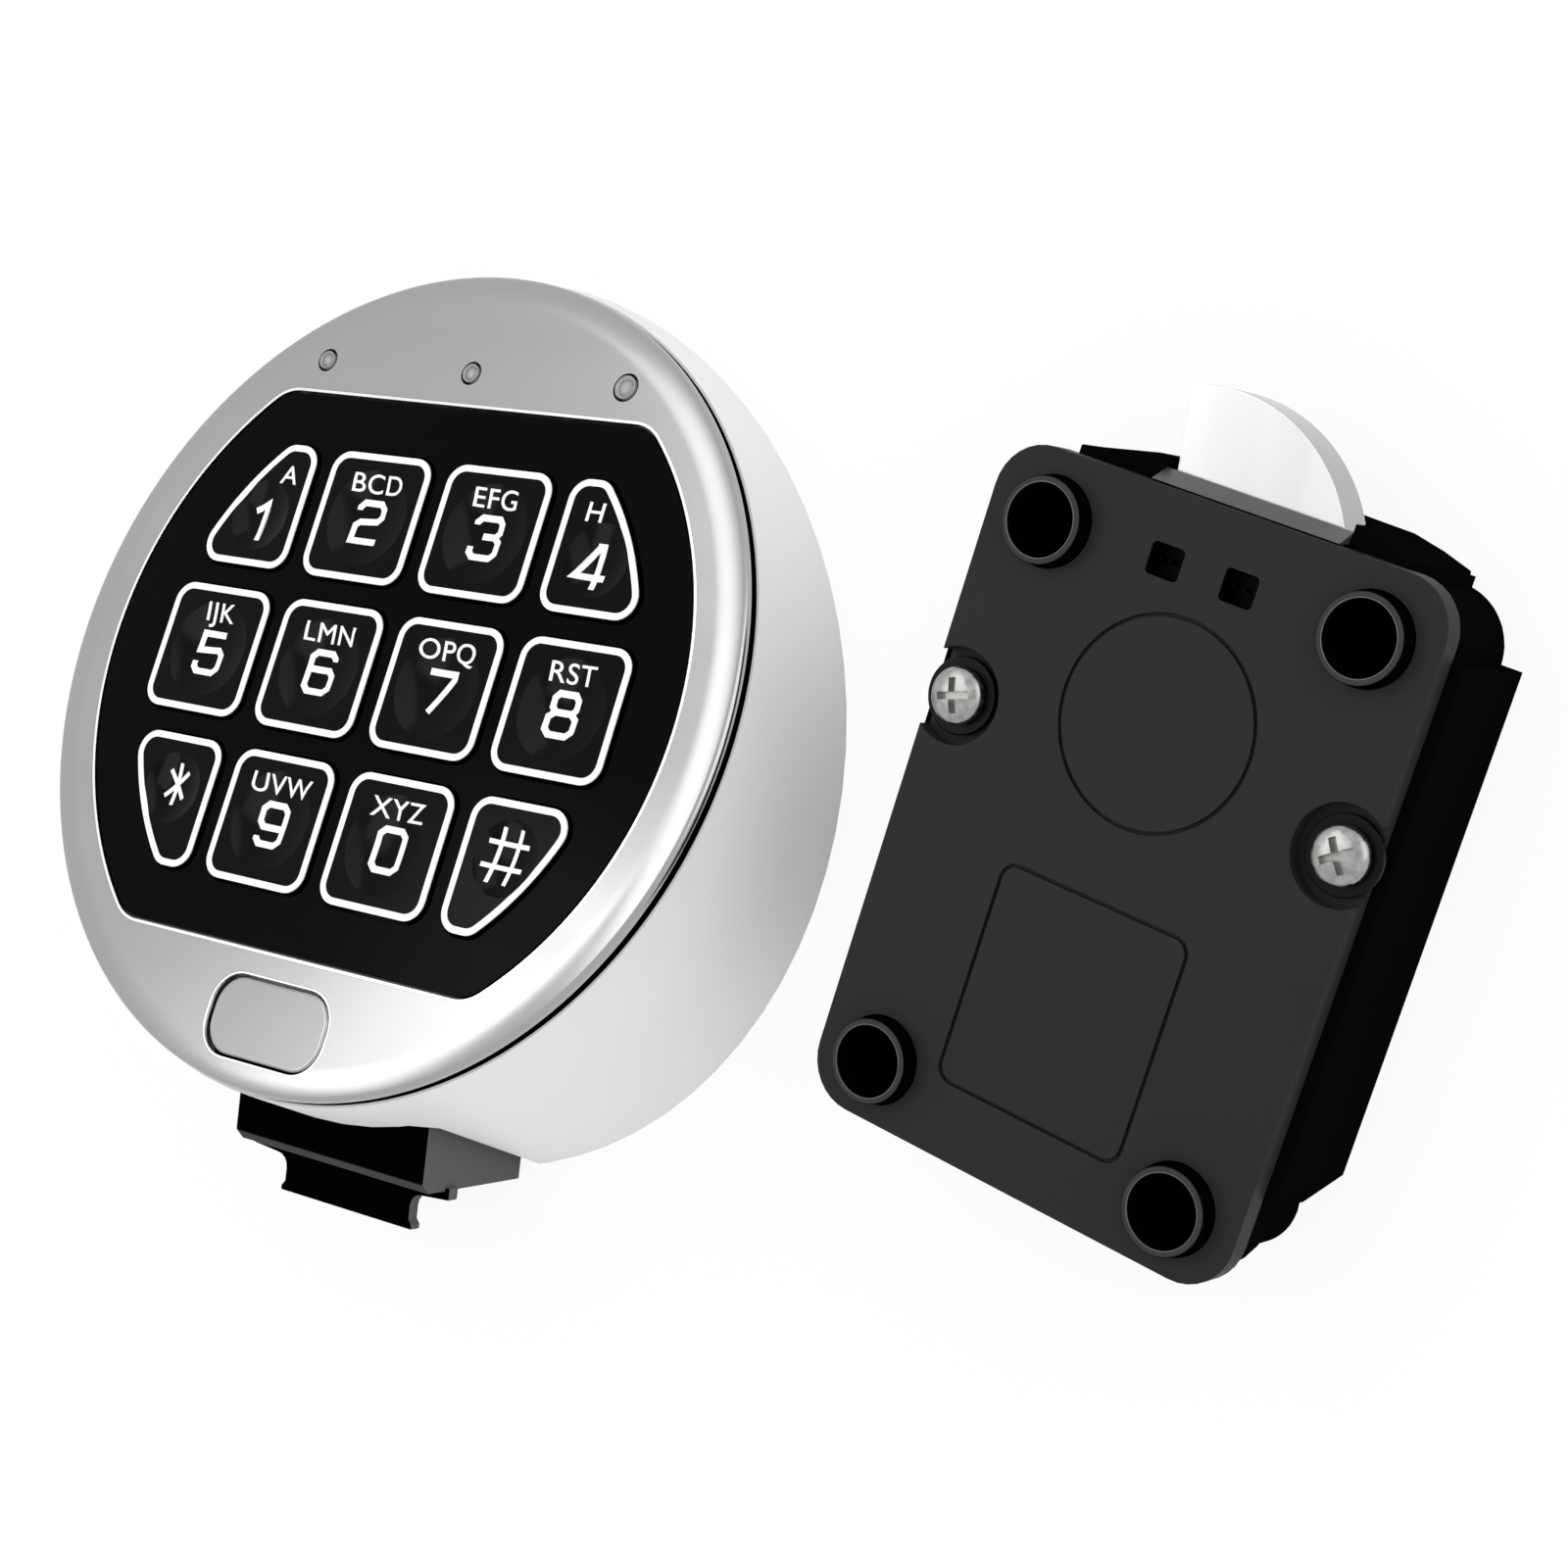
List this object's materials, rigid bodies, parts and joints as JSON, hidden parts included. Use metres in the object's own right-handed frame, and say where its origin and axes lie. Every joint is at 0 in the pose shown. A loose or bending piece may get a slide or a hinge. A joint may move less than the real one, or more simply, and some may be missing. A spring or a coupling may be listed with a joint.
{
  "type": "electronic safe lock",
  "caption": "Round wedge-shaped safe keypad with pressable keys and a battery drawer, beside its lock body with a swing bolt turned by a quarter turn.",
  "frame": {"origin": "centre of the bounding box at the level of both units' mounting faces", "axes": "+X from the keypad to the lock body, +Y up the keypad's face towards its indicators, +Z out of the mounting faces"},
  "size_m": [0.2096, 0.1283, 0.0381],
  "materials": {
    "silver_paint": "satin silver-grey paint on a die-cast shell",
    "brushed_aluminium": "fine straight brushing, clear coat",
    "gloss_black_panel": "moulded, polished black",
    "gloss_black_key": "moulded, polished black with white printed marks",
    "indicator_lens": "clear grey moulding",
    "black_rubber": "matt silicone",
    "green_circuit_board": "solder mask over glass fibre",
    "zinc_plated_steel": "bright zinc plate",
    "sheet_steel": "cold-rolled sheet",
    "black_plastic": "moulded, fine texture",
    "battery_sleeve": "printed film over the battery's case, plain",
    "charcoal_metal": "die-cast, satin charcoal coat",
    "black_sleeve": "turned tube, satin black coat",
    "polished_steel": "polished",
    "copper_winding": "enamelled copper wire, wound",
    "cream_plastic": "moulded nylon"
  },
  "bodies": {
    "lock_set": {"keypad_housing": "silver_paint", "face_ring": "brushed_aluminium", "keypad_panel": "gloss_black_panel", "oval_pad": "brushed_aluminium", "indicator_left": "indicator_lens", "indicator_centre": "indicator_lens", "indicator_right": "indicator_lens", "key_mat": "black_rubber", "keypad_board": "green_circuit_board", "board_screw_1": "zinc_plated_steel", "board_screw_2": "zinc_plated_steel", "board_screw_3": "zinc_plated_steel", "board_screw_4": "zinc_plated_steel", "sounder": "black_plastic", "keypad_cable_socket": "cream_plastic", "base_plate": "sheet_steel", "base_screw_1": "zinc_plated_steel", "base_screw_2": "zinc_plated_steel", "base_screw_3": "zinc_plated_steel", "base_screw_4": "zinc_plated_steel", "battery_contacts": "black_plastic", "lock_case": "charcoal_metal", "lock_cover": "charcoal_metal", "sleeve_top_left": "black_sleeve", "sleeve_top_right": "black_sleeve", "sleeve_bottom_left": "black_sleeve", "sleeve_bottom_right": "black_sleeve", "cover_screw_left": "zinc_plated_steel", "cover_screw_right": "zinc_plated_steel", "cover_washer_left": "zinc_plated_steel", "cover_washer_right": "zinc_plated_steel", "bolt_pin": "zinc_plated_steel", "bolt_spring": "zinc_plated_steel", "lever_pin": "zinc_plated_steel", "solenoid_bracket": "sheet_steel", "solenoid_coil": "copper_winding", "lock_board": "green_circuit_board", "socket_left": "cream_plastic", "socket_right": "cream_plastic"},
    "key_1_button": {"key_1": "gloss_black_key"},
    "key_2_button": {"key_2": "gloss_black_key"},
    "key_3_button": {"key_3": "gloss_black_key"},
    "key_4_button": {"key_4": "gloss_black_key"},
    "key_5_button": {"key_5": "gloss_black_key"},
    "key_6_button": {"key_6": "gloss_black_key"},
    "key_7_button": {"key_7": "gloss_black_key"},
    "key_8_button": {"key_8": "gloss_black_key"},
    "key_star_button": {"key_star": "gloss_black_key"},
    "key_9_button": {"key_9": "gloss_black_key"},
    "key_0_button": {"key_0": "gloss_black_key"},
    "key_hash_button": {"key_hash": "gloss_black_key"},
    "battery_drawer": {"battery_carrier": "black_plastic", "battery": "battery_sleeve"},
    "bolt": {"swing_bolt": "polished_steel"},
    "lever": {"locking_lever": "sheet_steel"},
    "plunger": {"solenoid_plunger": "zinc_plated_steel"}
  },
  "joints": [
    {"name": "key_1_press", "type": "slide", "parent": "lock_set", "child": "key_1_button", "axis": [0, -0.284, -0.9588], "range_m": [0, 0.0008], "stiffness_N_per_m": 900, "springref_m": -0.0004},
    {"name": "key_2_press", "type": "slide", "parent": "lock_set", "child": "key_2_button", "axis": [0, -0.284, -0.9588], "range_m": [0, 0.0008], "stiffness_N_per_m": 900, "springref_m": -0.0004},
    {"name": "key_3_press", "type": "slide", "parent": "lock_set", "child": "key_3_button", "axis": [0, -0.284, -0.9588], "range_m": [0, 0.0008], "stiffness_N_per_m": 900, "springref_m": -0.0004},
    {"name": "key_4_press", "type": "slide", "parent": "lock_set", "child": "key_4_button", "axis": [0, -0.284, -0.9588], "range_m": [0, 0.0008], "stiffness_N_per_m": 900, "springref_m": -0.0004},
    {"name": "key_5_press", "type": "slide", "parent": "lock_set", "child": "key_5_button", "axis": [0, -0.284, -0.9588], "range_m": [0, 0.0008], "stiffness_N_per_m": 900, "springref_m": -0.0004},
    {"name": "key_6_press", "type": "slide", "parent": "lock_set", "child": "key_6_button", "axis": [0, -0.284, -0.9588], "range_m": [0, 0.0008], "stiffness_N_per_m": 900, "springref_m": -0.0004},
    {"name": "key_7_press", "type": "slide", "parent": "lock_set", "child": "key_7_button", "axis": [0, -0.284, -0.9588], "range_m": [0, 0.0008], "stiffness_N_per_m": 900, "springref_m": -0.0004},
    {"name": "key_8_press", "type": "slide", "parent": "lock_set", "child": "key_8_button", "axis": [0, -0.284, -0.9588], "range_m": [0, 0.0008], "stiffness_N_per_m": 900, "springref_m": -0.0004},
    {"name": "key_star_press", "type": "slide", "parent": "lock_set", "child": "key_star_button", "axis": [0, -0.284, -0.9588], "range_m": [0, 0.0008], "stiffness_N_per_m": 900, "springref_m": -0.0004},
    {"name": "key_9_press", "type": "slide", "parent": "lock_set", "child": "key_9_button", "axis": [0, -0.284, -0.9588], "range_m": [0, 0.0008], "stiffness_N_per_m": 900, "springref_m": -0.0004},
    {"name": "key_0_press", "type": "slide", "parent": "lock_set", "child": "key_0_button", "axis": [0, -0.284, -0.9588], "range_m": [0, 0.0008], "stiffness_N_per_m": 900, "springref_m": -0.0004},
    {"name": "key_hash_press", "type": "slide", "parent": "lock_set", "child": "key_hash_button", "axis": [0, -0.284, -0.9588], "range_m": [0, 0.0008], "stiffness_N_per_m": 900, "springref_m": -0.0004},
    {"name": "battery_drawer_slide", "type": "slide", "parent": "lock_set", "child": "battery_drawer", "axis": [0, -1, 0], "range_m": [0, 0.05]},
    {"name": "bolt_swing", "type": "hinge", "parent": "lock_set", "child": "bolt", "pos_m": [0.0696, 0.03734, 0.012], "axis": [0, 0, -1], "range_deg": [0, 90], "stiffness_Nm_per_rad": 0.02, "springref_deg": -20.05},
    {"name": "lever_turn", "type": "hinge", "parent": "lock_set", "child": "lever", "pos_m": [0.06997, 0.01263, 0.0117], "axis": [0, 0, -1], "range_deg": [0, 21.1]},
    {"name": "plunger_slide", "type": "slide", "parent": "lock_set", "child": "plunger", "axis": [-0.9781, 0.2079, 0], "range_m": [0, 0.0051]}
  ],
  "couplings": [
    {"joint": "lever_turn", "follows": "bolt_swing", "ratio": 0.23333},
    {"joint": "plunger_slide", "follows": "bolt_swing", "m_per_rad": 0.0032149}
  ]
}
